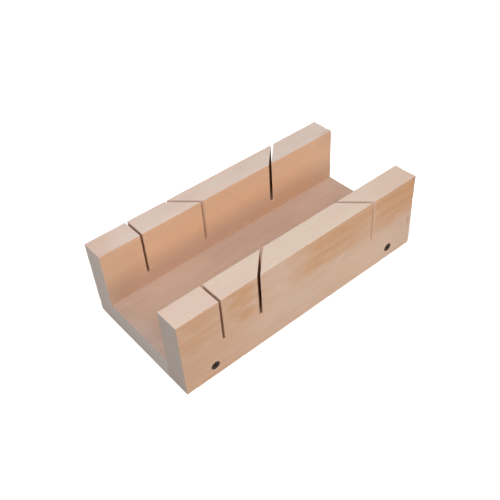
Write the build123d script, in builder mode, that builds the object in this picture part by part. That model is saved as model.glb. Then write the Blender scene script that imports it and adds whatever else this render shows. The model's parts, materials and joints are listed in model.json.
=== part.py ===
from build123d import *
import os

# A plain hardwood mitre box for guiding a hand saw: two tall side walls screwed to a bed board
# that lies between them, with one square kerf and two crossing 45 degree kerfs in the walls.
# Frame: millimetres, +X along the length, +Y from the front wall to the rear wall, +Z up.
# The origin is the middle of the underside.

# --- Overall sizes ---
length = 300
width = 146
height = 88
wall_thickness = 26.5
bed_thickness = 25
arris_radius = 0.7  # softened edges of the exposed board edges

# --- Saw kerfs ---
kerf_width = 2.8
kerf_floor = 39  # height at which every kerf stops
mitre_angle = 45
# where each kerf crosses the middle line of the box, and its turn from square
kerfs = (
    (-103.5, 0),
    (13.0, -mitre_angle),
    (16.0, mitre_angle),
)

# --- Screws: one near each end of each wall, in the middle of the bed's edge ---
screw_inset = 34  # from the end of the box
screw_height = bed_thickness / 2
counterbore_radius = 5
counterbore_depth = 0.5
clearance_radius = 2.6
head_radius = 4.6
head_rim = counterbore_radius - head_radius  # the head then seats flush with the countersink's top
countersink_angle = 90
shank_radius = 2.5
thread_root_radius = 1.7
pilot_radius = 1.75
pilot_spare = 2  # how far the pilot hole runs on past the screw's point
screw_length = 50
root_point_length = 6  # the cone at the end of the core
thread_length = 28  # from the point to the plain shank
thread_start = 4  # the first turn's distance from the point
thread_fade = 10  # where the thread reaches its full height
thread_runout = 1
thread_pitch = 2.2
thread_crest_radius = 2.44
thread_flank = 0.55  # half the thickness of the ridge at its foot
thread_bury = 0.45  # how deep the ridge's foot is set into the core
recess_depth = 2.6
recess_span = 4.8  # across the cross at the top of the head
recess_root = 1.8  # and at its bottom
recess_slot = 1.1

# --- Derived sizes ---
bed_width = width - 2 * wall_thickness
half_length = length / 2
half_width = width / 2
kerf_reach = 2 * width  # long enough to run out of both walls at 45 degrees
head_cone = head_radius - shank_radius  # a 90 degree cone is as high as it is wide
screw_tip_depth = counterbore_depth + screw_length
pilot_depth = screw_tip_depth + pilot_spare - wall_thickness


def screw_plane(x, side, distance):
    """A plane across a screw's axis, facing out of the wall, at a distance from the middle."""
    return Plane(origin=(x, side * distance, screw_height), x_dir=(side, 0, 0), z_dir=(0, side, 0))


# Where the four screws go: x and the side of the box, -1 for the front and 1 for the rear
screw_places = {
    "screw_front_left": (-half_length + screw_inset, -1),
    "screw_front_right": (half_length - screw_inset, -1),
    "screw_rear_left": (-half_length + screw_inset, 1),
    "screw_rear_right": (half_length - screw_inset, 1),
}

os.makedirs("parts", exist_ok=True)

# --- Bed board: lies between the walls, with a pilot hole for each screw in its long edges ---
with BuildPart() as base_board:
    with BuildSketch():
        Rectangle(length, bed_width)
    extrude(amount=bed_thickness)
    # only the end edges are free, because the long edges close against the walls
    fillet(base_board.edges().filter_by(Axis.Y), radius=arris_radius)
    for x, side in screw_places.values():
        with Locations(screw_plane(x, side, bed_width / 2)):
            Hole(radius=pilot_radius, depth=pilot_depth)

base_board.part.label = "base_board"
export_step(base_board.part, "parts/base_board.step")

# --- Side walls: full-height boards with the kerfs sawn down from the top ---
for name, side in (("front_wall", -1), ("rear_wall", 1)):
    wall_middle = side * (half_width - wall_thickness / 2)
    with BuildPart() as wall:
        with BuildSketch(Plane.XY):
            with Locations((0, wall_middle)):
                Rectangle(length, wall_thickness)
        extrude(amount=height)
        # the long bottom edge beside the bed stays sharp, because it closes the joint
        joint_edge = wall.edges().filter_by(Axis.X).group_by(Axis.Z)[0].sort_by(Axis.Y)
        joint_edge = joint_edge[-1] if side < 0 else joint_edge[0]
        fillet([edge for edge in wall.edges() if edge != joint_edge], radius=arris_radius)
        with BuildSketch(Plane.XY.offset(kerf_floor)):
            for x, turn in kerfs:
                with Locations((x, 0)):
                    Rectangle(kerf_width, kerf_reach, rotation=turn)
        extrude(amount=height, mode=Mode.SUBTRACT)
        for x, screw_side in screw_places.values():
            if screw_side == side:
                with Locations(screw_plane(x, side, half_width)):
                    CounterBoreHole(
                        radius=clearance_radius,
                        counter_bore_radius=counterbore_radius,
                        counter_bore_depth=counterbore_depth,
                        depth=wall_thickness,
                    )
                # the counterbore's floor is the countersink, as one stepped bit leaves it
                with Locations(screw_plane(x, side, half_width - counterbore_depth)):
                    CounterSinkHole(
                        radius=clearance_radius,
                        counter_sink_radius=counterbore_radius,
                        counter_sink_angle=countersink_angle,
                        depth=wall_thickness - counterbore_depth,
                    )
    wall.part.label = name
    export_step(wall.part, f"parts/{name}.step")

# --- Wood screw: countersunk head, plain shank, and a thread that runs out along the point ---
# It is drawn with the top of its head at the origin and its point down the -Z axis.
# The thread is one sharp-crested ridge, wound round the core and up into the shank.
with BuildPart() as thread_ridge:
    with BuildLine():
        ridge_path = Helix(
            pitch=thread_pitch,
            height=thread_length - thread_start,
            radius=thread_root_radius,
            center=(0, 0, -screw_length + thread_start),
        )
    ridge_plane = Plane(origin=ridge_path @ 0, x_dir=(1, 0, 0), z_dir=ridge_path % 0)
    with BuildSketch(ridge_plane):
        with BuildLine():
            Polyline(
                (-thread_bury, -thread_flank),
                (thread_crest_radius - thread_root_radius, 0),
                (-thread_bury, thread_flank),
                close=True,
            )
        make_face()
    sweep(path=ridge_path, is_frenet=True)
    # a long cone trims the ridge away towards the point
    with BuildSketch(Plane.XZ):
        with BuildLine():
            Polyline(
                (0, -screw_length - head_rim),
                (shank_radius, -screw_length + thread_fade),
                (shank_radius, 0),
                (0, 0),
                close=True,
            )
        make_face()
    revolve(axis=Axis.Z, mode=Mode.INTERSECT)

with BuildPart() as wood_screw:
    with BuildSketch(Plane.XZ):
        with BuildLine():
            Polyline(
                (0, -screw_length),
                (thread_root_radius, -screw_length + root_point_length),
                (thread_root_radius, -screw_length + thread_length),
                (shank_radius, -screw_length + thread_length + thread_runout),
                (shank_radius, -head_rim - head_cone),
                (head_radius, -head_rim),
                (head_radius, 0),
                (0, 0),
                close=True,
            )
        make_face()
    revolve(axis=Axis.Z)
    add(thread_ridge.part)
    # cross recess for the driver: two crossing wings that narrow as they go down
    for wing in (Plane.XZ, Plane.YZ):
        with BuildSketch(wing):
            with BuildLine():
                Polyline(
                    (-recess_span / 2, 0),
                    (-recess_root / 2, -recess_depth),
                    (recess_root / 2, -recess_depth),
                    (recess_span / 2, 0),
                    close=True,
                )
            make_face()
        extrude(amount=recess_slot / 2, both=True, mode=Mode.SUBTRACT)

for name, (x, side) in screw_places.items():
    with BuildPart() as screw:
        with Locations(screw_plane(x, side, half_width - counterbore_depth)):
            add(wood_screw.part)
    screw.part.label = name
    export_step(screw.part, f"parts/{name}.step")
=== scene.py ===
import functools
import itertools
import json
import math
import random

import bmesh
import bpy
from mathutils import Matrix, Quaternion, Vector, noise


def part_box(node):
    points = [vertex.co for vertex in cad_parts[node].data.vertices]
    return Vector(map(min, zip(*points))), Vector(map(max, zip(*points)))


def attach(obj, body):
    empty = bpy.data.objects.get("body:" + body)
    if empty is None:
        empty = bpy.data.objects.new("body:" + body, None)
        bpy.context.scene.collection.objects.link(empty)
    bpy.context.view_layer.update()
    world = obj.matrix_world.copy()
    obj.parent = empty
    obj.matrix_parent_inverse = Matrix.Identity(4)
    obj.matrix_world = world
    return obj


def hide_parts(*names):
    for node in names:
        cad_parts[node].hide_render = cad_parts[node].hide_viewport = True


# A beech mitre box: two tall walls screwed to a bed board, with three saw kerfs through both walls.
# All lengths are in metres, in the frame of the CAD model.

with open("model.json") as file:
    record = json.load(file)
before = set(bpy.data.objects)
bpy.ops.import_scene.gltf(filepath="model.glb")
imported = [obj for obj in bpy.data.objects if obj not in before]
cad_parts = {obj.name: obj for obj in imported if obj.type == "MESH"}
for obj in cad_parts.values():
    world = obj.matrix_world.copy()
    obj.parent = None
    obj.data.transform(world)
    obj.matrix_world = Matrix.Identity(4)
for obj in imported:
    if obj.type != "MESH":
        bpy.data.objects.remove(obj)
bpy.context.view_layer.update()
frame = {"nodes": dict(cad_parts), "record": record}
mounts = {mount["name"]: mount for mount in frame["record"]["mounts"]}

MM = 0.001
KERF_MOUNTS = ("square_kerf", "mitre_kerf_left", "mitre_kerf_right")
WALL_SCREWS = {
    "front_wall": ("screw_front_left", "screw_front_right"),
    "rear_wall": ("screw_rear_left", "screw_rear_right"),
}
SCREWS = [screw for screws in WALL_SCREWS.values() for screw in screws]

# --- Mesh of the boards ---
STEP_ALONG = 1.6 * MM  # how far apart the mesh lines lie along the grain
STEP_ACROSS = 2.6 * MM  # and across it
NEAR_EDGE = (1.2 * MM, 2.4 * MM)  # two more lines beside every edge, for its wear
ARRIS = 0.75 * MM  # radius of a board's softened edges
KERF_ARRIS = 0.16 * MM  # and of the edges of a saw cut
ARRIS_STEPS = 3
KERF_SEARCH = 3 * MM  # the CAD corners this near to a kerf's middle plane are the kerf's own
SMOOTH_BELOW = math.radians(38)  # two faces that meet at less than this are one smooth surface
SAME_PLACE = 1e-6

# --- Wear of the edges ---
WEAR_REACH = 1.7 * MM
WEAR_DEPTH = 0.16 * MM
WEAR_LENGTH = 14 * MM  # how long a soft stretch of an edge is
NOISE_SPREAD = 9  # each board reads another stretch of the same noise
DENT_COUNT = 18
DENT_EDGES = (6, 1, 2)  # how often a dent lies on an edge along x, y and z
DENT_RADIUS = (0.9 * MM, 2.6 * MM)
DENT_DEPTH = (0.12 * MM, 0.4 * MM)
TEAR_REACH = 0.9 * MM  # how far from a kerf's edge the saw has torn the fibres
TEAR_DEPTH = 0.32 * MM
TEAR_LENGTH = 1.9 * MM
TEAR_WIDENING = 0.6  # how much of the tear's depth goes sideways, out of the kerf

# --- Screw holes ---
HOLE_SEGMENTS = 64
HEAD_CLEARANCE = 0.4 * MM  # between a screw's head and its counterbore
SHANK_HOLE_RADIUS = 2.6 * MM
HOLE_MOUTH = 0.22 * MM  # the mouth of the counterbore, crumbled a little
PILOT_RADIUS = 1.75 * MM
PILOT_SPARE = 2 * MM  # how far a pilot hole runs on past its screw's point
CUTTER_START = 1 * MM  # how far outside the wood a cutter starts


# ---------------------------------------------------------------- geometry


class Kerf:
    """One saw cut, placed by its mount, with its width and depth read from the CAD wall."""

    def __init__(self, mount):
        self.middle = Vector(mount["pos_m"])
        self.along = Vector(mount["axis"])
        self.across = Vector((self.along.y, -self.along.x, 0))
        corners = [v.co for v in frame["nodes"]["front_wall"].data.vertices]
        own = [c for c in corners if abs(self.distance(c)) < KERF_SEARCH]
        self.half_width = min(abs(self.distance(c)) for c in own)
        self.floor = min(c.z for c in own)

    def distance(self, point):
        """How far a point lies to one side of the cut's middle plane."""
        return (point - self.middle).dot(self.across)

    def edges_at(self, y):
        """The x of the cut's two edges where it crosses depth y."""
        x = self.middle.x + (y - self.middle.y) * self.along.x / self.along.y
        spread = self.half_width / abs(self.along.y)
        return x - spread, x + spread


def stations(start, end, step):
    """Mesh lines from start up to, but not including, end: close together beside both."""
    first, last = start + NEAR_EDGE[-1], end - NEAR_EDGE[-1]
    count = max(1, round((last - first) / step))
    even = [first + (last - first) * n / count for n in range(count + 1)]
    return [start, start + NEAR_EDGE[0], *even, end - NEAR_EDGE[0]]


def lines_between(places, step):
    """Mesh lines over several stretches, each from one place to the next, and the last place."""
    lines = []
    for start, end in zip(places, places[1:]):
        lines += stations(start, end, step)
    return [*lines, places[-1]]


def wall_columns(low, high, kerfs):
    """Mesh lines along a wall as pairs of x, at its lowest and its highest y.

    Returns the lines and the set of columns that the kerfs take away.
    """
    cuts = sorted(list(zip(k.edges_at(low.y), k.edges_at(high.y))) for k in kerfs)
    edges = [(low.x, low.x), *itertools.chain(*cuts), (high.x, high.x)]
    columns, cut_columns = [], set()
    for number, (start, end) in enumerate(zip(edges, edges[1:])):
        if number % 2:
            cut_columns.add(len(columns))
            columns.append(start)
        else:
            length = end[0] - start[0]
            for x in stations(0, length, STEP_ALONG):
                share = x / length
                columns.append(tuple(a + (b - a) * share for a, b in zip(start, end)))
    return [*columns, edges[-1]], cut_columns


class Block:
    """A block of cells between mesh lines, some of which are cut away.

    A mesh line along x is a pair of x: where it is at the lowest y, and where at the highest.
    """

    def __init__(self, columns, y_lines, z_lines, cut_columns=(), cut_floor=None):
        self.columns = columns
        self.y_lines = y_lines
        self.z_lines = z_lines
        self.cut_columns = cut_columns
        self.cut_floor = cut_floor
        self.counts = (len(columns) - 1, len(y_lines) - 1, len(z_lines) - 1)
        self.mesh = bmesh.new()
        self.corners = {}

    def corner(self, i, j, k):
        """The vertex where three mesh lines meet, made when it is first asked for."""
        if (i, j, k) not in self.corners:
            first, last = self.columns[i]
            y, z = self.y_lines[j], self.z_lines[k]
            share = (y - self.y_lines[0]) / (self.y_lines[-1] - self.y_lines[0])
            x = first + (last - first) * share
            self.corners[i, j, k] = self.mesh.verts.new((x, y, z))
        return self.corners[i, j, k]

    def inside(self, cell):
        """Whether the cell is one of the block's."""
        return all(0 <= place < count for place, count in zip(cell, self.counts))

    def solid(self, cell):
        """Whether the cell is one of the block's, and not cut away."""
        if not self.inside(cell):
            return False
        return cell[0] not in self.cut_columns or self.z_lines[cell[2]] < self.cut_floor

    def outline(self, cell, axis, side):
        """The four corners of one side of a cell, in the order that makes the face look out."""
        u, v = (axis + 1) % 3, (axis + 2) % 3
        ring = []
        for du, dv in ((0, 0), (1, 0), (1, 1), (0, 1)):
            place = list(cell)
            place[axis] += side
            place[u] += du
            place[v] += dv
            ring.append(self.corner(*place))
        return ring if side else ring[::-1]

    def skin(self):
        """The closed skin of the cells that are left. Faces of the cuts get material index 1."""
        for cell in filter(self.solid, itertools.product(*map(range, self.counts))):
            for axis, side in itertools.product(range(3), (0, 1)):
                beside = list(cell)
                beside[axis] += 2 * side - 1
                if not self.solid(beside):
                    face = self.mesh.faces.new(self.outline(cell, axis, side))
                    face.material_index = int(self.inside(beside))
        return self.mesh


def soften_edges(mesh, name, stays_sharp, materials):
    """Rounds every edge: the board's own by ARRIS, those of a saw cut by KERF_ARRIS."""
    weight = mesh.edges.layers.float.new("bevel_weight_edge")
    for edge in mesh.edges:
        if edge.calc_face_angle() < SMOOTH_BELOW or stays_sharp(edge):
            continue
        kerf = any(face.material_index for face in edge.link_faces)
        edge[weight] = KERF_ARRIS / ARRIS if kerf else 1
    piece = new_object(name, mesh, materials)
    bevel = piece.modifiers.new("arris", "BEVEL")
    bevel.limit_method = "WEIGHT"
    bevel.width = ARRIS
    bevel.segments = ARRIS_STEPS
    apply_modifiers(piece)
    return piece


def new_object(name, mesh, materials=()):
    """An object of a bmesh, which is freed."""
    data = bpy.data.meshes.new(name)
    for material in materials:
        data.materials.append(material)
    mesh.to_mesh(data)
    mesh.free()
    piece = bpy.data.objects.new(name, data)
    bpy.context.scene.collection.objects.link(piece)
    return piece


def apply_modifiers(piece):
    """Puts the result of the piece's modifiers into its mesh."""
    graph = bpy.context.evaluated_depsgraph_get()
    made = bpy.data.meshes.new_from_object(piece.evaluated_get(graph))
    piece.modifiers.clear()
    old = piece.data
    piece.data = made
    bpy.data.meshes.remove(old)
    made.name = piece.name


def edge_dents(low, high, draw):
    """Small knocks at random places along the board's edges: centre, radius and depth."""
    dents = []
    for _ in range(DENT_COUNT):
        centre = Vector([draw.choice(pair) for pair in zip(low, high)])
        axis = draw.choices((0, 1, 2), weights=DENT_EDGES)[0]
        centre[axis] = draw.uniform(low[axis], high[axis])
        dents.append((centre, draw.uniform(*DENT_RADIUS), draw.uniform(*DENT_DEPTH)))
    return dents


def wear(piece, low, high, seed):
    """Wears the board's outer edges unevenly and knocks small dents into them."""
    draw = random.Random(seed)
    dents = edge_dents(low, high, draw)
    middle = (low + high) / 2
    shift = Vector([draw.uniform(0, NOISE_SPREAD) for _ in range(3)])
    for vertex in piece.data.vertices:
        point = vertex.co
        gaps = [min(point[n] - low[n], high[n] - point[n]) for n in range(3)]
        nearest = sorted(range(3), key=lambda n: gaps[n])[:2]
        closeness = 1 - sum(gaps[n] for n in nearest) / WEAR_REACH
        if closeness <= 0:
            continue
        softness = 0.5 + noise.noise(point / WEAR_LENGTH + shift)  # 0 or less where the edge is hard
        depth = WEAR_DEPTH * closeness * max(0, softness)
        for centre, radius, dent_depth in dents:
            share = (point - centre).length / radius
            if share < 1:
                depth += dent_depth * (1 - share * share)
        for n in nearest:
            point[n] += math.copysign(depth, middle[n] - point[n])


def tear_kerf_edges(piece, kerfs, low, high):
    """Makes the edges of the saw cuts ragged where the teeth came out of the wood."""
    middle = (low + high) / 2
    for vertex in piece.data.vertices:
        point = vertex.co
        gap = min(point.y - low.y, high.y - point.y)
        if gap > TEAR_REACH:
            continue
        for number, kerf in enumerate(kerfs):
            aside = kerf.distance(point)
            beside = abs(aside) - kerf.half_width
            if beside > TEAR_REACH or point.z < kerf.floor - TEAR_REACH:
                continue
            # its own stretch of noise for each edge
            place = Vector((math.copysign(3, aside), number * 5, point.z / TEAR_LENGTH))
            torn = max(0, noise.noise(place) + 0.25 * noise.noise(place * 3))
            torn *= TEAR_DEPTH * (1 - max(beside, gap) / TEAR_REACH)
            point.y += math.copysign(torn, middle.y - point.y)
            point += kerf.across * math.copysign(torn * TEAR_WIDENING, aside)


def outer_and_inner(node):
    """The y of a node's two sides: the one away from the middle of the box, and the other."""
    low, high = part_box(node)
    return (low.y, high.y) if low.y < 0 else (high.y, low.y)


def wall_hole(wall, screw):
    """A cutter for one screw's hole: crumbled mouth, counterbore, countersink and shank hole."""
    low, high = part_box(screw)
    face, inner = outer_and_inner(wall)
    head, _ = outer_and_inner(screw)
    inward = math.copysign(1, inner - face)
    bore = (high.x - low.x) / 2 + HEAD_CLEARANCE
    return turned_cutter((low + high) / 2, (
        (face - inward * CUTTER_START, bore + HOLE_MOUTH),
        (face, bore + HOLE_MOUTH),
        (face + inward * HOLE_MOUTH, bore),
        (head, bore),
        (head + inward * (bore - SHANK_HOLE_RADIUS), SHANK_HOLE_RADIUS),
        (inner + inward * CUTTER_START, SHANK_HOLE_RADIUS),
    ))


def pilot_hole(bed, screw):
    """A cutter for one screw's pilot hole in the bed's edge."""
    low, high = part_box(screw)
    head, point = outer_and_inner(screw)
    inward = math.copysign(1, point - head)
    edge = min((corner.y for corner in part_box(bed)), key=lambda y: abs(y - head))
    return turned_cutter((low + high) / 2, (
        (edge - inward * CUTTER_START, PILOT_RADIUS),
        (point + inward * PILOT_SPARE, PILOT_RADIUS),
    ))


def turned_cutter(middle, profile):
    """A closed turned solid along Y about the middle, through pairs of y and radius."""
    mesh = bmesh.new()
    rings = []
    for y, radius in profile:
        ring = []
        for n in range(HOLE_SEGMENTS):
            turn = 2 * math.pi * n / HOLE_SEGMENTS
            x = middle.x + radius * math.cos(turn)
            z = middle.z + radius * math.sin(turn)
            ring.append(mesh.verts.new((x, y, z)))
        rings.append(ring)
    for near, far in zip(rings, rings[1:]):
        for n in range(HOLE_SEGMENTS):
            following = (n + 1) % HOLE_SEGMENTS
            mesh.faces.new((near[n], near[following], far[following], far[n]))
    mesh.faces.new(rings[0])
    mesh.faces.new(rings[-1])
    bmesh.ops.recalc_face_normals(mesh, faces=mesh.faces)
    return new_object("cutter", mesh)


def drill(piece, cutters):
    """Cuts the holes that the cutters fill, and removes the cutters."""
    for cutter in cutters:
        cut = piece.modifiers.new("hole", "BOOLEAN")
        cut.operation = "DIFFERENCE"
        cut.solver = "EXACT"
        cut.object = cutter
    apply_modifiers(piece)
    for cutter in cutters:
        bpy.data.objects.remove(cutter)


def finish_mesh(piece, node):
    """Smooth shading, and the piece's place in the frame."""
    data = piece.data
    for face in data.polygons:
        face.use_smooth = True
    data.set_sharp_from_angle(angle=SMOOTH_BELOW)
    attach(piece, "root")
    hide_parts(node)


def make_wall(node, kerfs, seed, materials):
    """One side wall with its kerfs and its screw holes, of planed and of sawn wood."""
    low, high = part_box(node)
    inner = outer_and_inner(node)[1]
    floor = kerfs[0].floor
    columns, cut_columns = wall_columns(low, high, kerfs)
    y_lines = lines_between((low.y, high.y), STEP_ACROSS)
    z_lines = lines_between((low.z, floor, high.z), STEP_ACROSS)
    mesh = Block(columns, y_lines, z_lines, cut_columns, floor).skin()

    def in_joint(edge):
        """The bottom edge beside the bed, which closes the joint."""
        gaps = [max(abs(v.co.y - inner), abs(v.co.z - low.z)) for v in edge.verts]
        return max(gaps) < SAME_PLACE

    piece = soften_edges(mesh, node + "_board", in_joint, materials)
    wear(piece, low, high, seed)
    tear_kerf_edges(piece, kerfs, low, high)
    drill(piece, [wall_hole(node, screw) for screw in WALL_SCREWS[node]])
    finish_mesh(piece, node)


def make_bed(node, material):
    """The bed board. Its long edges stay sharp, because they close against the walls."""
    low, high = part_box(node)
    columns = [(x, x) for x in lines_between((low.x, high.x), STEP_ALONG)]
    y_lines = lines_between((low.y, high.y), STEP_ACROSS)
    z_lines = lines_between((low.z, high.z), STEP_ACROSS)
    mesh = Block(columns, y_lines, z_lines).skin()

    def in_joint(edge):
        """A long edge of the board."""
        first, second = (v.co for v in edge.verts)
        return abs(first.y - second.y) < SAME_PLACE

    piece = soften_edges(mesh, "bed_board", in_joint, [material])
    drill(piece, [pilot_hole(node, screw) for screw in SCREWS])
    finish_mesh(piece, node)


# ---------------------------------------------------------------- materials


def srgb(red, green, blue):
    """A colour given as seen on a screen, 0 to 255, as the linear values that shaders take."""
    values = [c / 255 for c in (red, green, blue)]
    return tuple(c / 12.92 if c < 0.04045 else ((c + 0.055) / 1.055) ** 2.4 for c in values) + (1,)


class Shader:
    """Adds nodes to a material. Each method returns the socket that later nodes read."""

    def __init__(self, name):
        self.material = bpy.data.materials.new(name)
        self.material.use_nodes = True
        self.nodes = self.material.node_tree.nodes
        self.links = self.material.node_tree.links
        self.surface = self.nodes["Principled BSDF"]
        self.coordinates = self.nodes.new("ShaderNodeTexCoord")

    def plug(self, socket, value):
        if isinstance(value, bpy.types.NodeSocket):
            self.links.new(value, socket)
        else:
            socket.default_value = value

    def set(self, **values):
        """Sets or wires inputs of the surface, with _ for a space in their names."""
        for name, value in values.items():
            self.plug(self.surface.inputs[name.replace("_", " ")], value)

    def math(self, operation, *values):
        node = self.nodes.new("ShaderNodeMath")
        node.operation = operation
        for socket, value in zip(node.inputs, values):
            self.plug(socket, value)
        return node.outputs[0]

    def product(self, *values):
        return functools.reduce(functools.partial(self.math, "MULTIPLY"), values)

    def hypot(self, first, second):
        """The length of a step that goes first one way and second at right angles to it."""
        square = self.math("MULTIPLY_ADD", first, first, self.product(second, second))
        return self.math("SQRT", square)

    def sway(self, value, texture, reach):
        """The value moved by up to half the reach either way, as a texture from 0 to 1 says."""
        return self.math("MULTIPLY_ADD", self.math("SUBTRACT", texture, 0.5), reach, value)

    def split(self, vector):
        node = self.nodes.new("ShaderNodeSeparateXYZ")
        self.plug(node.inputs[0], vector)
        return tuple(node.outputs)

    def join(self, *values):
        node = self.nodes.new("ShaderNodeCombineXYZ")
        for socket, value in zip(node.inputs, values):
            self.plug(socket, value)
        return node.outputs[0]

    def vector_math(self, operation, *values):
        node = self.nodes.new("ShaderNodeVectorMath")
        node.operation = operation
        for socket, value in zip(node.inputs, values):
            self.plug(socket, value)
        return next(s for s in node.outputs if s.enabled)

    def stretch(self, vector, sizes):
        """The vector counted in steps of the given sizes along each axis."""
        return self.vector_math("DIVIDE", vector, sizes)

    def noise(self, vector, detail=2.0, roughness=0.5, distortion=0.0):
        node = self.nodes.new("ShaderNodeTexNoise")
        self.plug(node.inputs["Vector"], vector)
        node.inputs["Scale"].default_value = 1
        node.inputs["Detail"].default_value = detail
        node.inputs["Roughness"].default_value = roughness
        node.inputs["Distortion"].default_value = distortion
        return node.outputs[0]

    def cells(self, vector):
        node = self.nodes.new("ShaderNodeTexVoronoi")
        self.plug(node.inputs["Vector"], vector)
        node.inputs["Scale"].default_value = 1
        return node.outputs["Distance"], node.outputs["Color"]

    def band(self, value, low, high, to_low=0.0, to_high=1.0):
        """Runs smoothly from to_low to to_high as value runs from low to high."""
        node = self.nodes.new("ShaderNodeMapRange")
        node.interpolation_type = "SMOOTHSTEP"
        for socket, given in zip(node.inputs, (value, low, high, to_low, to_high)):
            self.plug(socket, given)
        return node.outputs[0]

    def between(self, value, low, high, blur):
        """1 between low and high and 0 outside them, over an edge that is soft by blur each way."""
        return self.product(self.band(value, low - blur, low + blur),
                            self.band(value, high + blur, high - blur))

    def mix(self, share, first, second):
        node = self.nodes.new("ShaderNodeMix")
        node.data_type = "RGBA"
        colours = [s for s in node.inputs if s.type == "RGBA"]
        self.plug(node.inputs[0], share)
        self.plug(colours[0], first)
        self.plug(colours[1], second)
        return next(s for s in node.outputs if s.type == "RGBA")

    def bump(self, height, distance, strength=1.0):
        node = self.nodes.new("ShaderNodeBump")
        node.inputs["Strength"].default_value = strength
        node.inputs["Distance"].default_value = distance
        self.plug(node.inputs["Height"], height)
        return node.outputs[0]


# --- Sizes of the beech's figure: along the length, across the width and up, unless said otherwise ---
RING_SPACING = 2.3 * MM
RING_DRIFT = 9 * MM  # over this distance outward the spacing changes,
RING_UNEVENNESS = 2.4  # by up to half this many rings either way
WANDER_SIZE = (140 * MM, 60 * MM, 60 * MM)
WANDER = 16 * MM  # how far the grain wanders, from one side to the other
RAY_SPACING = (3.4 * MM, 0.7 * MM, 1.5 * MM)  # along the grain, round the rings, outward
RAY_SIZE = 0.34  # a ray's half size, as a share of its spacing
FIBRE_SIZE = (16 * MM, 0.45 * MM, 0.45 * MM)
STREAK_SIZE = (120 * MM, 4.5 * MM, 4.5 * MM)
BLOTCH_SIZE = (34 * MM, 13 * MM, 13 * MM)
CLOUD_SIZE = (95 * MM, 40 * MM, 34 * MM)
PORE_SIZE = (0.5 * MM, 0.5 * MM, 0.5 * MM)
STREAK_SWAY = (60 * MM, 14 * MM)  # how far streaks sway a warm patch's edges, along x and up
BLOTCH_SWAY = 30 * MM  # and blotches, along x
TINT_MOTTLE = 0.8  # the size of the mottling in a mark's edge, as a share of the mark's half size
TINT_SWAY = 0.9  # and how far it moves the edge
WOOD_RELIEF = 0.05 * MM

# --- Saw marks ---
SAW_MARK_SPACING = 1.4 * MM
SAW_CENTRE = (-110 * MM, -90 * MM)  # of the arcs that the saw left on the ends, as y and z
KERF_MARK_SIZE = (14 * MM, 14 * MM, 0.5 * MM)
KERF_PATCH_SIZE = (9 * MM, 9 * MM, 9 * MM)
KERF_MOUTH = (0.3 * MM, 2.8 * MM)  # between these depths a saw cut turns from pale at its mouth to darker further in
KERF_TOP = (0.5 * MM, 4 * MM)  # and between these, from its top down, it stops being grey from use
KERF_RELIEF = 0.08 * MM

# --- Screw steel ---
TURNING_SIZE = (0.25 * MM, 0.06 * MM, 0.25 * MM)
SPOT_SIZE = (1.8 * MM, 1.8 * MM, 1.8 * MM)
STEEL_RELIEF = 0.01 * MM

# --- Colours ---
RING_COLOUR = srgb(170, 120, 86)
RAY_COLOUR = srgb(142, 92, 62)
END_RING_COLOUR = srgb(158, 141, 127)
DARK_MARK_COLOUR = srgb(128, 94, 68)
DUSKY_COLOUR = srgb(198, 154, 124)
ROSY_COLOUR = srgb(216, 196, 190)
# painted light thrown up by the floor, on the front wall's lower right
PAINTED_LIGHT_COLOUR = srgb(232, 200, 174)
KERF_MOUTH_COLOUR = srgb(230, 190, 159)
KERF_TOP_COLOUR = srgb(218, 192, 178)
KERF_COLOUR = srgb(204, 168, 143)
KERF_DARK_COLOUR = srgb(168, 135, 114)
STEEL_COLOURS = (srgb(56, 44, 35), srgb(84, 67, 53))
SPOT_COLOUR = srgb(78, 52, 36)


def mm(*values):
    """A place or a size given in millimetres."""
    return tuple(value * MM for value in values)


def at(node, x, y, z):
    """A place in a node's box, with each of x, y and z from 0 at its low side to 1 at its high one."""
    low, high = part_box(node)
    return tuple(a + (b - a) * share for a, b, share in zip(low, high, (x, y, z)))


# --- Three boards from three trees. The settings are those of beech(), below. ---
FRONT_WOOD = {
    "pith": mm(-10, 150),
    "lean": (0.02, 0.03),
    "plain": srgb(217, 184, 159),
    "warm": srgb(207, 157, 115),
    "pale": srgb(226, 196, 172),
    "end": srgb(196, 183, 173),
    # on top: paler, partly edge grain and partly painted sheen of the light from above
    "top_colours": (srgb(224, 204, 186), srgb(223, 199, 184)),
    "patches": (
        (mm(-12, 190), mm(50, 100), 26 * MM, 1.0),
        (mm(95, 190), mm(46, 72), 18 * MM, 0.8),
        (mm(-96, -66), mm(45, 100), 13 * MM, 0.95),
        (mm(-180, -104), mm(50, 100), 24 * MM, 0.7),
        (mm(-180, -75), mm(-40, 100), 50 * MM, 0.5),
    ),
    "tints": (
        (at("front_wall", 0.983, 0, 0.375), mm(2.2, 4, 11), 0.3, DARK_MARK_COLOUR),
        # a small dark mark at the top right corner of the outer face
        (at("front_wall", 0.997, 0.038, 0.966), mm(3, 4, 4), 0.5, DARK_MARK_COLOUR),
        # painted light: paler over the lower right of the outer face, as light thrown up by the floor
        (at("front_wall", 0.767, 0, 0.227), mm(70, 20, 34), 0.25, PAINTED_LIGHT_COLOUR),
        (at("front_wall", 0, 0, 0.477), mm(28, 10, 24), 0.3, DUSKY_COLOUR),
        (at("front_wall", 0.967, 0.49, 1), mm(60, 30, 6), 0.15, DUSKY_COLOUR),
    ),
}
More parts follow.
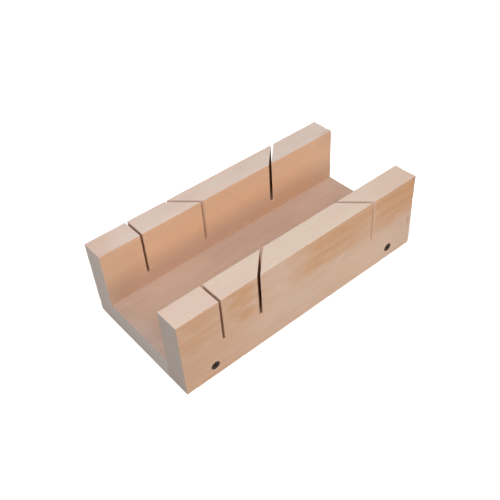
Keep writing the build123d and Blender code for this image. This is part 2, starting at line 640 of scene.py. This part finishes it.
REAR_WOOD = {
    "pith": mm(70, -160),
    "lean": (-0.02, 0.02),
    "plain": srgb(233, 198, 173),
    "warm": srgb(240, 193, 155),
    "pale": srgb(240, 203, 174),
    "end": srgb(212, 199, 190),
    # on top: paler, partly edge grain and partly painted sheen of the light from above
    "top_colours": (srgb(223, 205, 194), srgb(221, 199, 187)),
    "patches": (
        (mm(-190, 190), mm(47, 120), 50 * MM, 1.0),
        (mm(30, 190), mm(0, 120), 60 * MM, 0.7),
    ),
    "tints": (
        (at("rear_wall", 1, 0, 0.955), mm(34, 8, 34), 0.3, DUSKY_COLOUR),
        (at("rear_wall", 0.033, 0, 0.682), mm(46, 8, 46), 0.25, DUSKY_COLOUR),
        (at("rear_wall", -0.007, 0.51, 1), mm(36, 40, 8), 0.25, DUSKY_COLOUR),
    ),
}
BED_WOOD = {
    "pith": mm(150, 10),
    "lean": (0.03, 0.02),
    "plain": srgb(196, 176, 165),
    "warm": srgb(212, 183, 160),
    "pale": srgb(211, 187, 172),
    "end": srgb(212, 201, 192),
    "top_colours": (srgb(204, 174, 154), srgb(196, 168, 150)),
    "patches": (),
    "tints": (
        (at("base_board", -0.017, 0.328, 1), mm(26, 60, 10), 0.4, ROSY_COLOUR),
    ),
}


def growth_rings(wood, place, pith, lean):
    """Distance from the tree's pith, the turn round it, and how far into its late wood a ring is."""
    x, y, z = wood.split(place)
    wander = wood.noise(wood.stretch(place, WANDER_SIZE), detail=1)
    out_y = wood.math("SUBTRACT", y, wood.math("MULTIPLY_ADD", x, lean[0], pith[0]))
    out_z = wood.math("SUBTRACT", z, wood.math("MULTIPLY_ADD", x, lean[1], pith[1]))
    out_y = wood.sway(out_y, wander, WANDER)
    radius = wood.hypot(out_y, out_z)
    turn = wood.math("ARCTAN2", out_z, out_y)
    uneven = wood.noise(wood.join(wood.math("DIVIDE", radius, RING_DRIFT), 0, 0), detail=1)
    rings = wood.math("DIVIDE", radius, RING_SPACING)
    growth = wood.math("FRACT", wood.math("MULTIPLY_ADD", uneven, RING_UNEVENNESS, rings))
    # a ring darkens slowly outward and then ends sharply
    late = wood.product(wood.band(growth, 0.3, 0.93), wood.band(growth, 1.0, 0.94))
    return radius, turn, late


def rays(wood, place, radius, turn, pith):
    """The wood's rays: short dark dashes on the faces, fine lines on the end grain."""
    x = wood.split(place)[0]
    round_rings = wood.product(turn, math.hypot(*pith))
    distance, colour = wood.cells(wood.stretch(wood.join(x, round_rings, radius), RAY_SPACING))
    dash = wood.band(distance, RAY_SIZE, RAY_SIZE * 0.4)
    tone = wood.band(wood.split(colour)[0], 0.1, 0.9, 0.35, 1.0)
    return wood.product(dash, tone)


def warmth_of(wood, place, streak, blotch, patches):
    """Where the wood is of the warmer colour: soft patches that run out along the grain.

    Each patch has its reach along x, its reach upward, the blur of its edge and its strength.
    """
    x, _, z = wood.split(place)
    x = wood.sway(wood.sway(x, streak, STREAK_SWAY[0]), blotch, BLOTCH_SWAY)
    z = wood.sway(z, streak, STREAK_SWAY[1])
    warmth = 0.0
    for (left, right), (low, high), blur, strength in patches:
        along = wood.between(x, left, right, blur)
        upright = wood.between(z, low, high, blur / 4)  # sharper across the grain
        warmth = wood.math("MAXIMUM", warmth, wood.product(along, upright, strength))
    return warmth


def tinted(wood, place, colour, tints):
    """The colour with soft-edged marks on it, among them patches of painted light.

    Each mark has its centre, its half size, its strength and its colour.
    """
    for centre, size, strength, tint in tints:
        offset = wood.vector_math("SUBTRACT", place, centre)
        distance = wood.vector_math("LENGTH", wood.stretch(offset, size))
        mottle = wood.noise(wood.stretch(offset, [TINT_MOTTLE * s for s in size]), detail=2)
        spread = wood.sway(distance, mottle, TINT_SWAY)
        colour = wood.mix(wood.band(spread, 1.0, 0.3, 0.0, strength), colour, tint)
    return colour


def end_grain(wood, place, late, ray, end, pale):
    """The colour of the board's ends: grey, with the rings and pores showing."""
    pores = wood.noise(wood.stretch(place, PORE_SIZE), detail=2, roughness=0.7)
    colour = wood.mix(wood.product(late, 0.3), end, END_RING_COLOUR)
    colour = wood.mix(wood.band(pores, 0.35, 0.75, 0.0, 0.35), colour, END_RING_COLOUR)
    return wood.mix(wood.product(ray, 0.3), colour, pale)


def saw_marks(wood, place):
    """The arcs that a circular saw left on the ends."""
    _, y, z = wood.split(place)
    arc = wood.hypot(wood.math("SUBTRACT", y, SAW_CENTRE[0]), wood.math("SUBTRACT", z, SAW_CENTRE[1]))
    return wood.math("SINE", wood.product(arc, 2 * math.pi / SAW_MARK_SPACING))


def planed_faces(wood, streak, blotch, cloud, warmth, plain, warm, pale):
    """The colour of the walls' sides: plain with warm patches, and a little mottled everywhere."""
    colour = wood.mix(wood.product(warmth, wood.band(cloud, 0.3, 0.6, 0.75, 1.0)), plain, warm)
    colour = wood.mix(wood.band(streak, 0.4, 0.72, 0.0, 0.3), colour, pale)
    colour = wood.mix(wood.band(blotch, 0.45, 0.75, 0.0, 0.16), colour, warm)
    return wood.mix(wood.band(blotch, 0.5, 0.25, 0.0, 0.3), colour, pale)


def top_face_colour(wood, streak, cloud, top_colours, pale):
    """The colour of the faces that look up or down: paler, in two kinds of streak; on the walls partly
    painted sheen from above.
    """
    colour = wood.mix(wood.band(cloud, 0.4, 0.6), *top_colours)
    return wood.mix(wood.band(streak, 0.42, 0.7, 0.0, 0.3), colour, pale)


def figured(wood, colour, on_top, late, fibre, ray):
    """The colour with rings, fibres and rays drawn on it. Rings are fainter on top."""
    ring_share = wood.math("MULTIPLY_ADD", on_top, -0.045, 0.08)
    colour = wood.mix(wood.product(late, ring_share), colour, RING_COLOUR)
    colour = wood.mix(wood.band(fibre, 0.3, 0.8, 0.0, 0.13), colour, RING_COLOUR)
    return wood.mix(wood.product(ray, 0.2), colour, RAY_COLOUR)


def beech(name, pith, lean, plain, warm, pale, end, top_colours, patches, tints):
    """Solid beech, figured in three dimensions, so that every cut through it agrees.

    pith is where the tree's centre crosses x = 0, as y and z, and lean is how it slants along x.
    plain, warm and pale are the colours of the planed faces, end that of the board's ends, and
    top_colours those of the streaks on top, paler on the walls partly as edge grain and partly as
    painted sheen of the light from above. patches say where the planed faces are warm, and
    tints are marks on every face along the grain, among them a patch of painted light.
    """
    wood = Shader(name)
    place = wood.coordinates.outputs["Object"]
    facing = wood.split(wood.coordinates.outputs["Normal"])
    on_top = wood.band(wood.math("ABSOLUTE", facing[2]), 0.55, 0.95)
    on_end = wood.band(wood.math("ABSOLUTE", facing[0]), 0.72, 0.97)
    radius, turn, late = growth_rings(wood, place, pith, lean)
    ray = rays(wood, place, radius, turn, pith)
    fibre = wood.noise(wood.stretch(place, FIBRE_SIZE), detail=3, roughness=0.6)
    streak = wood.noise(wood.stretch(place, STREAK_SIZE), detail=3, roughness=0.55)
    blotch = wood.noise(wood.stretch(place, BLOTCH_SIZE), detail=2, distortion=0.5)
    cloud = wood.noise(wood.stretch(place, CLOUD_SIZE), detail=2, distortion=0.4)

    warmth = warmth_of(wood, place, streak, blotch, patches)
    side = planed_faces(wood, streak, blotch, cloud, warmth, plain, warm, pale)
    # paler on top: partly edge grain, partly painted sheen of the light from above
    top = top_face_colour(wood, streak, cloud, top_colours, pale)
    along = figured(wood, wood.mix(on_top, side, top), on_top, late, fibre, ray)
    along = tinted(wood, place, along, tints)
    colour = wood.mix(on_end, along, end_grain(wood, place, late, ray, end, pale))

    marks = wood.product(saw_marks(wood, place), on_end, 0.25)
    height = wood.math("SUBTRACT", wood.math("ADD", fibre, marks), wood.product(ray, 0.5))
    rough = wood.math("MULTIPLY_ADD", on_end, 0.16, wood.band(fibre, 0.2, 0.8, 0.5, 0.66))
    wood.set(Base_Color=colour, Roughness=rough, Specular_IOR_Level=0.4,
             Normal=wood.bump(height, WOOD_RELIEF, 0.8))
    return wood.material


def sawn_beech():
    """The wood inside the saw cuts: marked by the teeth, greyed along the top, pale at the mouth
    and darker further in.
    """
    wood = Shader("sawn_beech")
    place = wood.coordinates.outputs["Object"]
    low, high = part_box("rear_wall")
    _, y, z = wood.split(place)
    aside = wood.math("ABSOLUTE", y)  # the two walls mirror each other
    from_faces = wood.math("MINIMUM", wood.math("SUBTRACT", high.y, aside),
                           wood.math("SUBTRACT", aside, low.y))
    from_top = wood.math("SUBTRACT", high.z, z)
    marks = wood.noise(wood.stretch(place, KERF_MARK_SIZE), detail=3, roughness=0.65)
    patchy = wood.noise(wood.stretch(place, KERF_PATCH_SIZE), detail=2)
    colour = wood.mix(wood.band(marks, 0.35, 0.7, 0.0, 0.5), KERF_COLOUR, KERF_DARK_COLOUR)
    colour = wood.mix(wood.band(patchy, 0.45, 0.7, 0.0, 0.3), colour, KERF_DARK_COLOUR)
    colour = wood.mix(wood.band(from_faces, *KERF_MOUTH), KERF_MOUTH_COLOUR, colour)
    colour = wood.mix(wood.band(from_top, *KERF_TOP), KERF_TOP_COLOUR, colour)
    wood.set(Base_Color=colour, Roughness=0.85, Specular_IOR_Level=0.25,
             Normal=wood.bump(marks, KERF_RELIEF, 0.9))
    return wood.material


def screw_steel():
    """Blackened steel: fine turning marks and faint brown spots."""
    steel = Shader("black_screw_steel")
    place = steel.coordinates.outputs["Object"]
    turning = steel.noise(steel.stretch(place, TURNING_SIZE), detail=3)
    spots = steel.noise(steel.stretch(place, SPOT_SIZE), detail=3, roughness=0.6)
    colour = steel.mix(steel.band(turning, 0.3, 0.7), *STEEL_COLOURS)
    colour = steel.mix(steel.band(spots, 0.52, 0.72, 0.0, 0.55), colour, SPOT_COLOUR)
    rough = steel.band(spots, 0.3, 0.7, 0.42, 0.62)
    steel.set(Base_Color=colour, Roughness=rough, Metallic=0.6,
              Normal=steel.bump(turning, STEEL_RELIEF, 0.6))
    return steel.material


# ---------------------------------------------------------------- stage

CAMERA_PLACE = Vector((-0.3337, -0.4205, 0.5161))
CAMERA_AZIMUTH = math.radians(-37.49)
CAMERA_ELEVATION = math.radians(41.87)
CAMERA_ROLL = math.radians(-4.33)
CAMERA_LENS = 50.72
FLOOR_SIZE = 8.0
FLOOR_DROP = 0.05 * MM  # how far the floor lies under the box, so that the two don't flicker
FLOOR_COLOUR = (0.62, 0.62, 0.62, 1)
FLOOR_GLOW = 0.7  # seen by the camera only, so that the floor stays white and lights the box little
FAR_FLOOR_GLOW = 1.0
FLOOR_FADE = (0.35, 1.1)  # from and to which distance the floor's glow rises
WORLD_LIGHT = 0.12  # on the box, and the camera sees pure white instead
# each light's azimuth and elevation in degrees, distance, size and power
LIGHTS = {
    "key": (-60, 65, 1.6, 0.7, 12.2),
    "front": (2, 25, 1.3, 0.3, 4.45),
    "right": (30, 45, 1.6, 0.7, 5.8),
    "left": (-90, 25, 1.6, 0.8, 3.6),
    "back": (170, 24, 1.6, 0.8, 5.0),
    "end": (100, 22, 1.6, 0.8, 3.2),
}


def towards(azimuth, elevation):
    """The direction out to a place seen at that azimuth and elevation, in radians."""
    flat = math.cos(elevation)
    return Vector((math.sin(azimuth) * flat, -math.cos(azimuth) * flat, math.sin(elevation)))


def make_camera():
    data = bpy.data.cameras.new("camera")
    data.lens = CAMERA_LENS
    camera = bpy.data.objects.new("camera", data)
    camera.location = CAMERA_PLACE
    back = towards(CAMERA_AZIMUTH, CAMERA_ELEVATION)
    camera.rotation_mode = "QUATERNION"
    roll = Quaternion((0, 0, 1), CAMERA_ROLL)
    camera.rotation_quaternion = back.to_track_quat("Z", "Y") @ roll
    bpy.context.scene.collection.objects.link(camera)
    bpy.context.scene.camera = camera


def make_light(name, azimuth, elevation, distance, size, power):
    """A square soft box that faces the frame's origin."""
    data = bpy.data.lights.new(name, "AREA")
    data.size = size
    data.energy = power
    light = bpy.data.objects.new(name, data)
    out = towards(math.radians(azimuth), math.radians(elevation))
    light.location = out * distance
    light.rotation_mode = "QUATERNION"
    light.rotation_quaternion = out.to_track_quat("Z", "Y")
    bpy.context.scene.collection.objects.link(light)


def seen_strength(tree, hidden, seen):
    """A strength of hidden for the light that falls on things, and of seen in the picture."""
    path = tree.nodes.new("ShaderNodeLightPath")
    strength = tree.nodes.new("ShaderNodeMapRange")
    for name, value in (("To Min", hidden), ("To Max", seen)):
        if isinstance(value, bpy.types.NodeSocket):
            tree.links.new(value, strength.inputs[name])
        else:
            strength.inputs[name].default_value = value
    tree.links.new(path.outputs["Is Camera Ray"], strength.inputs["Value"])
    return strength.outputs[0]


def make_floor():
    """A plain pale floor, which looks white in the picture."""
    mesh = bmesh.new()
    bmesh.ops.create_grid(mesh, x_segments=1, y_segments=1, size=FLOOR_SIZE / 2)
    paper = Shader("white_floor")
    floor = new_object("floor", mesh, [paper.material])
    floor.location.z = -FLOOR_DROP
    away = paper.vector_math("LENGTH", paper.coordinates.outputs["Object"])
    brightness = paper.band(away, *FLOOR_FADE, FLOOR_GLOW, FAR_FLOOR_GLOW)
    glow = seen_strength(paper.material.node_tree, 0, brightness)
    paper.set(Base_Color=FLOOR_COLOUR, Roughness=0.9, Specular_IOR_Level=0.1,
              Emission_Color=(1, 1, 1, 1), Emission_Strength=glow)


def make_world():
    """Soft light from all round, and white behind everything."""
    world = bpy.data.worlds.new("studio")
    world.use_nodes = True
    tree = world.node_tree
    background = tree.nodes["Background"]
    background.inputs["Color"].default_value = (1, 1, 1, 1)
    tree.links.new(seen_strength(tree, WORLD_LIGHT, 1), background.inputs["Strength"])
    bpy.context.scene.world = world


# ---------------------------------------------------------------- the scene

make_camera()
make_world()
make_floor()
for name, settings in LIGHTS.items():
    make_light(name, *settings)
bpy.context.scene.view_settings.view_transform = "Standard"

kerfs = [Kerf(mounts[name]) for name in KERF_MOUNTS]
sawn = sawn_beech()
make_wall("front_wall", kerfs, 3, [beech("beech_front_wall", **FRONT_WOOD), sawn])
make_wall("rear_wall", kerfs, 5, [beech("beech_rear_wall", **REAR_WOOD), sawn])
make_bed("base_board", beech("beech_bed", **BED_WOOD))
steel = screw_steel()
for name in SCREWS:
    for slot in frame["nodes"][name].material_slots:
        slot.material = steel
